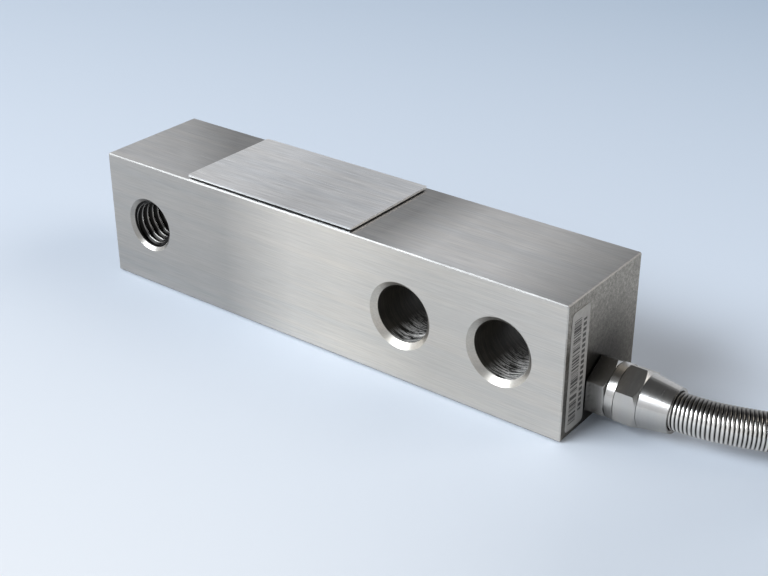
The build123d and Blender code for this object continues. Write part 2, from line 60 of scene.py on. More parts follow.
azimuth, elevation = math.radians(CAMERA_AZIMUTH), math.radians(CAMERA_ELEVATION)
back = Vector((
    math.sin(azimuth) * math.cos(elevation),
    -math.cos(azimuth) * math.cos(elevation),
    math.sin(elevation),
))
right = Vector((0, 0, 1)).cross(back).normalized()
turn = Matrix.Rotation(math.radians(CAMERA_ROLL), 3, back)
right, above = turn @ right, turn @ back.cross(right)
camera = bpy.data.objects.new("camera", bpy.data.cameras.new("camera"))
bpy.context.scene.collection.objects.link(camera)
camera.data.lens = CAMERA_LENS
camera.data.sensor_width = CAMERA_SENSOR
camera.data.clip_start = 0.01
camera.matrix_world = Matrix.Translation(CAMERA_PLACE) @ Matrix((right, above, back)).transposed().to_4x4()
bpy.context.scene.camera = camera


def new_material(name, roughness, metallic=0.0):
    """A material with its Principled shader; roughness and metallic are plain socket values."""
    material = bpy.data.materials.new(name)
    material.use_nodes = True
    shader = material.node_tree.nodes["Principled BSDF"]
    shader.inputs["Roughness"].default_value = roughness
    shader.inputs["Metallic"].default_value = metallic
    return material, material.node_tree, shader


def add_node(tree, kind, **values):
    """A shader node with its properties set, and its inputs where a value is keyed by a socket's name."""
    node = tree.nodes.new(kind)
    for key, value in values.items():
        if hasattr(node, key):
            setattr(node, key, value)
        else:
            node.inputs[key.replace("_", " ")].default_value = value
    return node


def feed(tree, source, socket):
    """Gives a socket its source: another socket, a colour of three levels, or a plain number."""
    if isinstance(source, bpy.types.NodeSocket):
        tree.links.new(source, socket)
    elif isinstance(source, tuple):
        socket.default_value = (*source, 1.0)
    else:
        socket.default_value = source


def math_node(tree, operation, *operands, clamp=False):
    """One arithmetic step on sockets or plain numbers, held to 0 and 1 where clamped."""
    node = add_node(tree, "ShaderNodeMath", operation=operation, use_clamp=clamp)
    for socket, operand in zip(node.inputs, operands):
        feed(tree, operand, socket)
    return node.outputs[0]


def blend(tree, share, first, second, kind="MIX"):
    """The first colour times 1 less the share, plus the second times the share."""
    node = add_node(tree, "ShaderNodeMix", data_type="RGBA", blend_type=kind)
    for socket, source in ((node.inputs["Factor"], share), (node.inputs[6], first), (node.inputs[7], second)):
        feed(tree, source, socket)
    return node.outputs[2]


def ramp(tree, source, stops):
    """Colours joined by straight runs over a value from 0 to 1; stops are (place, colour) pairs."""
    node = tree.nodes.new("ShaderNodeValToRGB")
    band = node.color_ramp
    for place, colour in stops[1:-1]:
        band.elements.new(place)
    for element, (place, colour) in zip(band.elements, stops):
        element.position = place
        element.color = (*colour, 1.0)
    tree.links.new(source, node.inputs["Fac"])
    return node.outputs["Color"]


def object_place(tree):
    """The socket that says where a point lies on its object, in metres."""
    return add_node(tree, "ShaderNodeTexCoord").outputs["Object"]


def axes_of(tree, place):
    """A place's three coordinates, as sockets."""
    split = add_node(tree, "ShaderNodeSeparateXYZ")
    tree.links.new(place, split.inputs[0])
    return tuple(split.outputs[axis] for axis in "XYZ")


PAPER_SIZE = 12.0
PAPER_DROP = 0.0002  # a hair below the beam's underside
PAPER_SLANT = -0.14  # the darkening runs a little to the left of straight back
PAPER_FALL = 1.4  # shade per metre of the way back
PAPER_LEVEL = 0.54  # the shade under the beam
# The paper's colour is painted light and shade: lightest a little in front of the beam, painted darker on the
# way back, and painted darker again towards the window.
PAPER_SHADES = [
    (0.0, (0.72, 0.745, 0.78)),
    (0.26, (0.86, 0.875, 0.90)),
    (0.55, (0.655, 0.725, 0.83)),
    (1.0, (0.39, 0.475, 0.59)),
]
THROWN_BLUE = 0.35  # how much of the paper's blue its light carries on to the steel
half = PAPER_SIZE / 2
paper_mesh = bpy.data.meshes.new("paper")
paper_corners = [(-half, -half, 0), (half, -half, 0), (half, half, 0), (-half, half, 0)]
paper_mesh.from_pydata(paper_corners, [], [(0, 1, 2, 3)])
sheet = bpy.data.objects.new("paper", paper_mesh)
sheet.location = (0, 0, -PAPER_DROP)
bpy.context.scene.collection.objects.link(sheet)
paper, tree, shader = new_material("paper", 0.85)
x, y, _ = axes_of(tree, object_place(tree))
inward = math_node(tree, "ADD", math_node(tree, "MULTIPLY", x, PAPER_SLANT), y)
shade = math_node(tree, "ADD", math_node(tree, "MULTIPLY", inward, PAPER_FALL), PAPER_LEVEL, clamp=True)
seen_colour = ramp(tree, shade, PAPER_SHADES)
thrown_colour = add_node(tree, "ShaderNodeHueSaturation", Saturation=THROWN_BLUE)
tree.links.new(seen_colour, thrown_colour.inputs["Color"])
is_seen = add_node(tree, "ShaderNodeLightPath").outputs["Is Camera Ray"]
paper_colour = blend(tree, is_seen, thrown_colour.outputs["Color"], seen_colour)
tree.links.new(paper_colour, shader.inputs["Base Color"])
shader.inputs["Specular IOR Level"].default_value = 0.2
paper_mesh.materials.append(paper)

LAMPS = (
    # name, place, target, width, height, watts, colour
    ("window", (-2.78, -3.96, 3.78), (0.0, 0.0, 0.0), 4.86, 2.52, 405.0, (0.92, 0.965, 1.0)),
    ("bounce", (4.7, 2.7, 3.6), (0.1, 0.0, 0.0), 4.4, 3.6, 140.0, (1.0, 0.92, 0.82)),
)
for name, spot, target, width, height, watts, tint in LAMPS:
    lamp = bpy.data.lights.new(name, "AREA")
    lamp.shape = "RECTANGLE"
    lamp.size, lamp.size_y, lamp.energy, lamp.color = width, height, watts, tint
    holder = bpy.data.objects.new(name, lamp)
    holder.location = spot
    holder.rotation_euler = (Vector(spot) - Vector(target)).to_track_quat("Z", "Y").to_euler()
    bpy.context.scene.collection.objects.link(holder)

# The room that the steel mirrors, by the height of the direction looked in: pale walls that darken upwards
# into a dark ceiling.
ROOM_SHADES = [
    (0.0, (0.72, 0.73, 0.75)),
    (0.40, (0.77, 0.78, 0.80)),
    (0.62, (0.46, 0.465, 0.47)),
    (0.78, (0.085, 0.085, 0.085)),
    (1.0, (0.085, 0.085, 0.085)),
]
world = bpy.data.worlds.new("studio")
bpy.context.scene.world = world
world.use_nodes = True
room = world.node_tree
background = room.nodes["Background"]
_, _, rise = axes_of(room, add_node(room, "ShaderNodeTexCoord").outputs["Generated"])
room.links.new(ramp(room, rise, ROOM_SHADES), background.inputs["Color"])
background.inputs["Strength"].default_value = 1.0
bpy.context.scene.view_settings.view_transform = "Standard"

# The beam: one block of stainless steel, sawn from bar, milled, then belt-brushed along its length, with a
# small break on its edges. Its three holes are bored from front to back and countersunk, and its ends are
# ground and mottled. Over the brushing its colour carries painted light and shade: broad painted bands on the
# front and top, painted shade on the edge breaks, the countersinks and the end face, and painted shade with
# painted highlights in the bores.
LOAD_HOLE = (-0.0523, 0.0159)
HOLES = (  # x, z, radius
    (*LOAD_HOLE, 0.006),
    (0.0239, 0.0159, 0.00675),
    (0.0493, 0.0159, 0.00675),
)
HALF_LENGTH = 0.065
HALF_WIDTH = 0.015
TOP_FACE = 0.0318
EDGE_BREAK = 0.00025
BORE_HEIGHT = 0.0159
RIM_DEPTH = 0.0014  # a countersink's, with some to spare
RIM_REACH = 0.0085  # a countersink's radius, with some to spare
GLAND_HEIGHT = 0.0071
EDGE_GRACE = 0.00002  # masks reach this far past an edge or an end face
WALL_GRACE = 0.00003  # and this far past the front face or a bore's wall
TOP_GRACE = 0.0002  # and this far below the top face


def effect_group(name, inputs, outputs):
    """An empty shader node group; inputs are (name, kind, default) and outputs (name, kind)."""
    group = bpy.data.node_groups.new(name, "ShaderNodeTree")
    for label, kind, default in inputs:
        socket = group.interface.new_socket(label, in_out="INPUT", socket_type=kind)
        if default is not None:
            socket.default_value = default
    for label, kind in outputs:
        group.interface.new_socket(label, in_out="OUTPUT", socket_type=kind)
    return group, group.nodes.new("NodeGroupInput"), group.nodes.new("NodeGroupOutput")


def swing(tree, noise, amount):
    """A noise's swing about nothing: the noise less a half, times the amount."""
    return math_node(tree, "MULTIPLY", math_node(tree, "SUBTRACT", noise.outputs["Fac"], 0.5), amount)


def multiply(tree, first, second):
    """Two colours multiplied, level by level."""
    return blend(tree, 1.0, first, second, "MULTIPLY")


# Steel grain: fine streaks with broad soft bands over them, on a place stretched along the cut. The colour
# is the steel's times 1 plus both swings, with warm and cool clouds, and bright streaks are smoother.
STREAK_POLISH = -0.8  # roughness per swing of a streak
GRAIN_DEPTH = 0.00003
grain, grain_in, grain_out = effect_group(
    "steel_grain",
    [
        ("Vector", "NodeSocketVector", None),
        ("Steel", "NodeSocketColor", (0.6, 0.6, 0.6, 1.0)),
        ("Streaks", "NodeSocketFloat", 0.12),
        ("Bands", "NodeSocketFloat", 0.12),
        ("Sheen", "NodeSocketFloat", 0.3),
    ],
    [("Color", "NodeSocketColor"), ("Roughness", "NodeSocketFloat"), ("Height", "NodeSocketFloat")],
)
fine = add_node(grain, "ShaderNodeTexNoise", Scale=1.0, Detail=4.0, Roughness=0.65)
broad = add_node(grain, "ShaderNodeTexNoise", Scale=0.12, Detail=2.0, Roughness=0.5)
for texture in (fine, broad):
    grain.links.new(grain_in.outputs["Vector"], texture.inputs["Vector"])
streak = swing(grain, fine, grain_in.outputs["Streaks"])
band = swing(grain, broad, grain_in.outputs["Bands"])
level = math_node(grain, "ADD", math_node(grain, "ADD", streak, band), 1.0)
shaded = add_node(grain, "ShaderNodeVectorMath", operation="SCALE")
grain.links.new(grain_in.outputs["Steel"], shaded.inputs[0])
grain.links.new(level, shaded.inputs["Scale"])
clouds = ramp(grain, broad.outputs["Fac"], [(0.36, (0.990, 1.0, 1.012)), (0.62, (1.010, 1.0, 0.988))])
grain.links.new(multiply(grain, shaded.outputs[0], clouds), grain_out.inputs["Color"])
polish = math_node(grain, "MULTIPLY", streak, STREAK_POLISH)
grain.links.new(math_node(grain, "ADD", polish, grain_in.outputs["Sheen"]), grain_out.inputs["Roughness"])
grain.links.new(fine.outputs["Fac"], grain_out.inputs["Height"])


def grained_steel(name, stretch, steel, streaks, bands, sheen, bump):
    """A metal with the steel grain in its colour, roughness and relief, stretched along the cut; returns it
    with its tree, its shader, the grain's colour and the place on the object."""
    material, tree, shader = new_material(name, sheen, metallic=1.0)
    place = object_place(tree)
    mapping = add_node(tree, "ShaderNodeMapping", Scale=stretch)
    tree.links.new(place, mapping.inputs["Vector"])
    node = add_node(tree, "ShaderNodeGroup", node_tree=grain, Streaks=streaks, Bands=bands, Sheen=sheen)
    feed(tree, steel, node.inputs["Steel"])
    tree.links.new(mapping.outputs["Vector"], node.inputs["Vector"])
    relief = add_node(tree, "ShaderNodeBump", Strength=bump, Distance=GRAIN_DEPTH)
    tree.links.new(node.outputs["Height"], relief.inputs["Height"])
    tree.links.new(node.outputs["Color"], shader.inputs["Base Color"])
    tree.links.new(node.outputs["Roughness"], shader.inputs["Roughness"])
    tree.links.new(relief.outputs["Normal"], shader.inputs["Normal"])
    return material, tree, shader, node.outputs["Color"], place


def finish_node(name, material):
    """Gives a CAD node its finish in place of the plain one."""
    mesh = nodes[name].data
    mesh.materials.clear()
    mesh.materials.append(material)


def grey(level, warmth=0.02):
    """A grey, a trace warm as stainless steel is: red gains and blue loses in proportion to the warmth."""
    return level * (1 + 0.7 * warmth), level, level * (1 - 1.2 * warmth)


def share_of_way(tree, value, low, high):
    """How far a value has come from low to high, held to 0 and 1."""
    share = add_node(tree, "ShaderNodeMapRange")
    for label, source in (("Value", value), ("From Min", low), ("From Max", high)):
        feed(tree, source, share.inputs[label])
    return share.outputs["Result"]


def tone_along(tree, value, low, high, stops):
    """Greys along a value from low to high; stops are (share of the way, level), and a warmth if any."""
    greys = [(share, grey(level, sum(warmth))) for share, level, *warmth in stops]
    return ramp(tree, share_of_way(tree, value, low, high), greys)


def between(tree, value, low, high):
    """1 where a value lies between two numbers, else 0."""
    over = math_node(tree, "GREATER_THAN", value, low)
    return math_node(tree, "MULTIPLY", over, math_node(tree, "LESS_THAN", value, high))


def distance_to_line(tree, axes, first, second):
    """The distance from a line square to two axes: the root of the two squared distances' sum."""
    offsets = [math_node(tree, "SUBTRACT", axis, centre) for axis, centre in zip(axes, (first, second))]
    squares = [math_node(tree, "MULTIPLY", offset, offset) for offset in offsets]
    return math_node(tree, "SQRT", math_node(tree, "ADD", *squares))


beam_steel, tree, shader, streaked, place = grained_steel(
    "beam_steel",
    stretch=(100.0, 3400.0, 3400.0),
    steel=(0.78, 0.775, 0.77),
    streaks=0.48,
    bands=0.20,
    sheen=0.36,
    bump=0.30,
)
x, y, z = axes_of(tree, place)
# The front face's colour is painted with broad light and shade along the beam: darker to the left, a painted
# highlight across the middle, and a little less to the right.
front_painted_light = tone_along(tree, x, -HALF_LENGTH, HALF_LENGTH, [
    (0.0, 0.56, 0.01),
    (0.29, 0.53, 0.01),
    (0.45, 0.86, 0.04),
    (0.56, 0.87, 0.05),
    (0.74, 0.72, 0.04),
    (1.0, 0.73, 0.03),
])

# The top's colour is painted with light and shade: painted highlights and shade that run along the beam, and
# aslant over its free half, and painted shade that darkens it a little to the back.
TOP_SLANT = 0.9
free_half = math_node(tree, "LESS_THAN", x, 0.0)
aside = math_node(tree, "MULTIPLY", math_node(tree, "MULTIPLY", y, free_half), TOP_SLANT)
top_painted_light = tone_along(tree, math_node(tree, "ADD", x, aside), -HALF_LENGTH, HALF_LENGTH, [
    (0.0, 0.80),
    (0.09, 0.74),
    (0.22, 0.42),
    (0.62, 0.46),
    (0.72, 1.0),
    (0.84, 1.0),
    (1.0, 0.50),
])
depth_painted_shade = tone_along(tree, y, -HALF_WIDTH, HALF_WIDTH, [(0.0, 1.0), (1.0, 0.78)])
on_top = math_node(tree, "GREATER_THAN", z, TOP_FACE - TOP_GRACE)
tone = blend(tree, on_top, front_painted_light, multiply(tree, top_painted_light, depth_painted_shade))

# A broken edge lies where the sum or difference of two coordinates passes its value on the edge. The breaks
# are painted darker as shade: the top's front and end edges to tone down their reflection, and the bottom
# front edge near black as a painted contact shadow.
break_painted_shade = tone_along(tree, x, -HALF_LENGTH, HALF_LENGTH, [
    (0.0, 0.27),
    (0.35, 0.28),
    (0.6, 0.31),
    (1.0, 0.27),
])
break_reach = EDGE_BREAK + EDGE_GRACE
for joined, other, passes, limit, edge_painted_shade in (
    ("SUBTRACT", y, "GREATER_THAN", TOP_FACE + HALF_WIDTH - break_reach, break_painted_shade),
    ("ADD", x, "GREATER_THAN", TOP_FACE + HALF_LENGTH - break_reach, grey(0.36, 0.0)),
    ("ADD", y, "LESS_THAN", -HALF_WIDTH + break_reach, grey(0.12)),
):
    on_edge = math_node(tree, passes, math_node(tree, joined, z, other), limit)
    tone = blend(tree, on_edge, tone, edge_painted_shade)

# The countersinks turn from the light, and are painted a little darker than the front face round them, as
# painted shade.
at_front = between(tree, y, -HALF_WIDTH + WALL_GRACE, -HALF_WIDTH + RIM_DEPTH)
at_bores = between(tree, z, BORE_HEIGHT - RIM_REACH, BORE_HEIGHT + RIM_REACH)
on_rim = math_node(tree, "MULTIPLY", at_front, at_bores)
tone = blend(tree, on_rim, tone, multiply(tree, front_painted_light, grey(0.80)))
# The brushed grain times the painted light and shade above.
brushed_and_painted_light = multiply(tree, streaked, tone)

# The bores' walls are painted near black as shade, with the reamer's rings painted bright as highlight round
# them on the side that faces the window, where its light reaches in. That side's mask rises from 0 on the
# bore's axis, across the light, and the highlight's falls to 0 just behind the middle of the block.
LIGHT_SLOPE = 0.75  # the window's light comes down this much for each metre across
LIT_RISE = 140.0  # per metre off the axis
LIT_DEPTH_END = 0.002
LIT_DEPTH_FALL = 150.0  # per metre before that end
RING_STRETCH = (210.0, 2300.0, 210.0)
inside = lit_wall = 0.0
for bore_x, bore_z, bore_radius in HOLES:
    from_axis = distance_to_line(tree, (x, z), bore_x, bore_z)
    in_bore = math_node(tree, "LESS_THAN", from_axis, bore_radius + WALL_GRACE)
    inside = math_node(tree, "MAXIMUM", inside, in_bore)
    across = math_node(tree, "SUBTRACT", x, bore_x)
    down = math_node(tree, "MULTIPLY", math_node(tree, "SUBTRACT", z, bore_z), LIGHT_SLOPE)
    facing = math_node(tree, "MULTIPLY", math_node(tree, "SUBTRACT", across, down), LIT_RISE)
    lit_wall = math_node(tree, "MAXIMUM", lit_wall, math_node(tree, "MULTIPLY", in_bore, facing, clamp=True))
before_end = math_node(tree, "SUBTRACT", LIT_DEPTH_END, y)
near_mouth = math_node(tree, "MULTIPLY", before_end, LIT_DEPTH_FALL, clamp=True)
lit_scratches = math_node(tree, "MULTIPLY", lit_wall, near_mouth)
ring_map = add_node(tree, "ShaderNodeMapping", Scale=RING_STRETCH)
tree.links.new(place, ring_map.inputs["Vector"])
rings = add_node(tree, "ShaderNodeTexNoise", Scale=1.0, Detail=3.0, Roughness=0.65)
tree.links.new(ring_map.outputs["Vector"], rings.inputs["Vector"])
painted_dark_wall = ramp(tree, rings.outputs["Fac"], [(0.40, grey(0.010, 0.2)), (0.75, grey(0.045, 0.2))])
painted_lit_rings = ramp(tree, rings.outputs["Fac"], [
    (0.0, grey(0.010)),
    (0.49, grey(0.014)),
    (0.53, grey(0.95)),
    (0.56, grey(0.02)),
    (0.60, grey(1.0)),
    (1.0, grey(0.6)),
])
walled = blend(tree, inside, brushed_and_painted_light, blend(tree, lit_scratches, painted_dark_wall, painted_lit_rings))
tree.links.new(math_node(tree, "SUBTRACT", 1.0, inside), shader.inputs["Metallic"])

# The end face is ground and mottled, and its colour is painted dark as shade, and almost black close to the
# gland as painted shade between these two distances from its axis.
GLAND_SHADE = (0.004, 0.022)
on_end = math_node(tree, "GREATER_THAN", x, HALF_LENGTH - EDGE_GRACE)
mottle = add_node(tree, "ShaderNodeTexNoise", Scale=1500.0, Detail=5.0, Roughness=0.85)
tree.links.new(place, mottle.inputs["Vector"])
mottled = ramp(tree, mottle.outputs["Fac"], [
    (0.36, grey(0.15, 0.08)),
    (0.52, grey(0.28, 0.08)),
    (0.68, grey(0.44, 0.08)),
])
from_gland = distance_to_line(tree, (y, z), 0.0, GLAND_HEIGHT)
gland_shade = tone_along(tree, from_gland, *GLAND_SHADE, [(0.0, 0.03), (0.3, 0.22), (0.75, 0.75), (1.0, 1.0)])
end_steel = multiply(tree, mottled, gland_shade)
tree.links.new(blend(tree, on_end, walled, end_steel), shader.inputs["Base Color"])
finish_node("beam", beam_steel)

# The load hole's thread: M12 coarse, cut in the block's own steel by a tap, right through. Its roots and
# flanks are painted near black as shade, so that its crests stand out bright. The frame has the plain bore,
# and this piece lines it.
THREAD_PITCH = 0.00175
ROOT_RADIUS = 0.00598
CREST_RADIUS = 0.00510
THREAD_HALF_LENGTH = 0.01414
THREAD_START = 0.50  # how far round the hole the ridge begins, in turns
THREAD_RUNOUT = 0.12  # the ridge sinks away over this many pitches at each mouth
THREAD_BACKING = 0.00001
RINGS_PER_PITCH = 10
THREAD_AROUND = 96


def grid_faces(rows, columns, wrapped=False):
    """Quads between neighbouring rows of a grid of points, where each row is a closed ring of columns;
    wrapped joins the last row to the first as well."""
    row, column = np.meshgrid(np.arange(rows if wrapped else rows - 1), np.arange(columns), indexing="ij")
    here, there = row * columns, (row + 1) % rows * columns
    beside = (column + 1) % columns
    return np.stack([here + column, here + beside, there + beside, there + column], axis=-1).reshape(-1, 4)


def mesh_piece(name, points, faces, material, **measures):
    """A piece from an array of points and a list of faces; each measure, a number for every point, becomes an
    attribute that the material reads."""
    mesh = bpy.data.meshes.new(name)
    mesh.from_pydata(points.tolist(), [], faces)
    for label, values in measures.items():
        attribute = mesh.attributes.new(label, "FLOAT", "POINT")
        attribute.data.foreach_set("value", values.astype(np.float32).ravel())
    mesh.polygons.foreach_set("use_smooth", np.full(len(mesh.polygons), True))
    mesh.materials.append(material)
    mesh.update()
    piece = bpy.data.objects.new(name, mesh)
    bpy.context.scene.collection.objects.link(piece)
    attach(piece, "root")
    return piece


def thread_form(turns):
    """The ridge's height from 0 at the root to 1 at the crest: a saw tooth over each pitch, stretched by
    1.25, lowered by 0.15 and cut off at 0 and 1, which gives sloping flanks with flat roots and crests."""
    saw = np.abs((turns % 1.0) * 2 - 1)
    return np.clip(saw * 1.25 - 0.15, 0, 1)


# Rings of points along the hole, each at the root radius less the ridge; two plain rings close the back.
ring_count = int(2 * THREAD_HALF_LENGTH / THREAD_PITCH * RINGS_PER_PITCH)
along, angle = np.meshgrid(
    np.linspace(-THREAD_HALF_LENGTH, THREAD_HALF_LENGTH, ring_count),
    np.arange(THREAD_AROUND) * 2 * np.pi / THREAD_AROUND,
    indexing="ij",
)
runout = np.clip((THREAD_HALF_LENGTH - np.abs(along)) / (THREAD_RUNOUT * THREAD_PITCH), 0, 1)
ridge = thread_form(along / THREAD_PITCH + angle / (2 * np.pi) + THREAD_START) * runout
radius = ROOT_RADIUS - (ROOT_RADIUS - CREST_RADIUS) * ridge
radius = np.vstack([radius, np.full_like(radius[:2], ROOT_RADIUS + THREAD_BACKING)])
along = np.vstack([along, along[[-1, 0]]])
angle = np.vstack([angle, angle[:2]])
relief = np.vstack([ridge, np.zeros_like(ridge[:2])])
across, up = radius * np.cos(angle), radius * np.sin(angle)
points = np.stack([LOAD_HOLE[0] + across, along, LOAD_HOLE[1] + up], axis=-1)
faces = grid_faces(ring_count + 2, THREAD_AROUND, wrapped=True)[:, ::-1]

# Groove shade: painted shade in a grooved metal's grooves, its colour times a shade that runs straight from
# its root's to its flank's, its shoulder's and its crest's, as the relief goes from 0 to 1 past the places of
# flank and shoulder.
grooves, groove_in, groove_out = effect_group(
    "groove_shade",
    [
        ("Color", "NodeSocketColor", (0.9, 0.9, 0.9, 1.0)),
        ("Relief", "NodeSocketFloat", 1.0),
        ("Root", "NodeSocketColor", (0.0, 0.0, 0.0, 1.0)),
        ("Flank", "NodeSocketColor", (0.02, 0.02, 0.02, 1.0)),
        ("Shoulder", "NodeSocketColor", (0.5, 0.5, 0.5, 1.0)),
        ("Crest", "NodeSocketColor", (1.0, 1.0, 1.0, 1.0)),
        ("Flank At", "NodeSocketFloat", 0.65),
        ("Shoulder At", "NodeSocketFloat", 0.9),
    ],
    [("Color", "NodeSocketColor")],
)
flank_at, shoulder_at = groove_in.outputs["Flank At"], groove_in.outputs["Shoulder At"]
shade = groove_in.outputs["Root"]
for label, low, high in (
    ("Flank", 0.0, flank_at),
    ("Shoulder", flank_at, shoulder_at),
    ("Crest", shoulder_at, 1.0),
):
    risen = share_of_way(grooves, groove_in.outputs["Relief"], low, high)
    shade = blend(grooves, risen, shade, groove_in.outputs[label])
grooves.links.new(multiply(grooves, groove_in.outputs["Color"], shade), groove_out.inputs["Color"])


def shade_grooves(tree, shader, colour, root, flank, shoulder, crest):
    """Puts groove shade on a metal by its relief attribute; flank and shoulder are (place, level) pairs."""
    height = add_node(tree, "ShaderNodeAttribute", attribute_name="relief")
    node = add_node(tree, "ShaderNodeGroup", node_tree=grooves, Flank_At=flank[0], Shoulder_At=shoulder[0])
    for label, level in (("Root", root), ("Flank", flank[1]), ("Shoulder", shoulder[1]), ("Crest", crest)):
        feed(tree, grey(level), node.inputs[label])
    tree.links.new(height.outputs["Fac"], node.inputs["Relief"])
    tree.links.new(colour, node.inputs["Color"])
    tree.links.new(node.outputs["Color"], shader.inputs["Base Color"])


thread_steel, tree, shader, streaked, _ = grained_steel(
    "thread_steel",
    stretch=(400.0, 3000.0, 400.0),
    steel=(0.93, 0.92, 0.91),
    streaks=0.25,
    bands=0.10,
    sheen=0.24,
    bump=0.1,
)
shade_grooves(tree, shader, streaked, root=0.008, flank=(0.68, 0.015), shoulder=(0.92, 0.40), crest=0.9)
thread = mesh_piece("load_thread", points.reshape(-1, 3), faces.tolist(), thread_steel, relief=relief)

# The covers: stainless sheet cut to size and brushed along its length. Each is bonded over a gauge pocket,
# the upper one a little proud of the top face, on a thin bead of sealant. The cover's colour is painted with
# light and shade along its length.
cover_steel, tree, shader, streaked, place = grained_steel(
    "cover_steel",
    stretch=(90.0, 3000.0, 3000.0),
    steel=(0.80, 0.797, 0.79),
    streaks=0.60,
    bands=0.14,
    sheen=0.34,
    bump=0.3,
)
x, _, _ = axes_of(tree, place)
cover_low, cover_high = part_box("cover_plate")
cover_painted_light = tone_along(tree, x, cover_low[0], cover_high[0], [
    (0.0, 0.98, -0.01),
    (0.25, 0.99, -0.02),
    (0.6, 0.80, -0.02),
    (0.85, 0.84, -0.02),
    (1.0, 0.90, -0.02),
])
tree.links.new(multiply(tree, streaked, cover_painted_light), shader.inputs["Base Color"])
for name in ("cover_plate", "lower_cover"):
    finish_node(name, cover_steel)

# Speckle: a noise from 0.3 up to the light tone's place takes the colour straight from dark to light.
SPECKLE_FOOT = 0.3
SPECKLE_DEPTH = 0.00005
speckle, speckle_in, speckle_out = effect_group(
    "speckle",
    [
        ("Vector", "NodeSocketVector", None),
        ("Dark", "NodeSocketColor", (0.1, 0.1, 0.1, 1.0)),
        ("Light", "NodeSocketColor", (0.2, 0.2, 0.2, 1.0)),
        ("Light At", "NodeSocketFloat", 0.7),
        ("Scale", "NodeSocketFloat", 700.0),
        ("Detail", "NodeSocketFloat", 3.0),
    ],
    [("Color", "NodeSocketColor"), ("Height", "NodeSocketFloat")],
)
specks = add_node(speckle, "ShaderNodeTexNoise")
for label in ("Vector", "Scale", "Detail"):
    speckle.links.new(speckle_in.outputs[label], specks.inputs[label])
lightness = share_of_way(speckle, specks.outputs["Fac"], SPECKLE_FOOT, speckle_in.outputs["Light At"])
speckled_colour = blend(speckle, lightness, speckle_in.outputs["Dark"], speckle_in.outputs["Light"])
speckle.links.new(speckled_colour, speckle_out.inputs["Color"])
speckle.links.new(specks.outputs["Fac"], speckle_out.inputs["Height"])


def place_speckle(tree, dark, light, scale, **others):
    """Puts speckle on the place on the object, and returns its node."""
    node = add_node(tree, "ShaderNodeGroup", node_tree=speckle, Scale=scale, **others)
    for label, source in (("Vector", object_place(tree)), ("Dark", dark), ("Light", light)):
        feed(tree, source, node.inputs[label])
    return node


# The seals: a black rubber washer and ring where the gland is screwed to the block, and sealant under the
# covers, coloured near black as painted shadow in the gap under each cover. All are dull, with a trace of
# speckle.
black_seal, tree, shader = new_material("black_seal", 0.6)
rubber_and_gap_shadow = place_speckle(tree, (0.008, 0.008, 0.008), (0.03, 0.03, 0.03), 1500.0, Detail=2.0, Light_At=0.8)
tree.links.new(rubber_and_gap_shadow.outputs["Color"], shader.inputs["Base Color"])
for name in ("cover_seal", "lower_seal", "gland_washer", "gland_seal"):
    finish_node(name, black_seal)

# Inside the pockets: foil gauges on amber film, glued to the web; the balance board on its foam pad, with
# trim resistors; enamelled leads and insulated cores; and the pale gel poured over them all.
INNER_FINISHES = {  # finish, dark, light, roughness, scale
    "upper_gauge": ("gauge_film", (0.50, 0.27, 0.07), (0.62, 0.36, 0.10), 0.35, 900.0),
    "upper_gauge_leads": ("copper_enamel", (0.42, 0.17, 0.07), (0.55, 0.25, 0.12), 0.3, 1500.0),
    "board_pad": ("foam_pad", (0.70, 0.70, 0.66), (0.85, 0.85, 0.82), 0.9, 1200.0),
    "balance_board": ("board_laminate", (0.02, 0.16, 0.06), (0.03, 0.22, 0.09), 0.4, 500.0),
    "trim_resistors": ("resistor_body", (0.02, 0.02, 0.025), (0.05, 0.05, 0.055), 0.5, 900.0),
    "core_wires": ("core_insulation", (0.60, 0.60, 0.58), (0.70, 0.70, 0.68), 0.4, 700.0),
    "upper_potting": ("silicone_gel", (0.62, 0.63, 0.61), (0.74, 0.75, 0.73), 0.25, 200.0),
    "inner_jacket": ("grey_jacket", (0.10, 0.10, 0.11), (0.15, 0.15, 0.16), 0.5, 600.0),
}


def moulded(name, dark, light, roughness, scale, coat=0.0):
    """A moulded or cast finish: speckle in its colour, and the same noise as a faint relief."""
    material, tree, shader = new_material(name, roughness)
    node = place_speckle(tree, dark, light, scale)
    tree.links.new(node.outputs["Color"], shader.inputs["Base Color"])
    relief = add_node(tree, "ShaderNodeBump", Strength=0.1, Distance=SPECKLE_DEPTH)
    tree.links.new(node.outputs["Height"], relief.inputs["Height"])
    tree.links.new(relief.outputs["Normal"], shader.inputs["Normal"])
    shader.inputs["Coat Weight"].default_value = coat
    return material


inner_materials = {name: moulded(*values) for name, values in INNER_FINISHES.items()}
for name, material in inner_materials.items():
    finish_node(name, material)
for name, like in (
    ("lower_gauge", "upper_gauge"),
    ("lower_gauge_leads", "upper_gauge_leads"),
    ("lower_potting", "upper_potting"),
    ("slip_ring", "upper_gauge_leads"),
    ("jacket_tail", "inner_jacket"),
):
    finish_node(name, inner_materials[like])

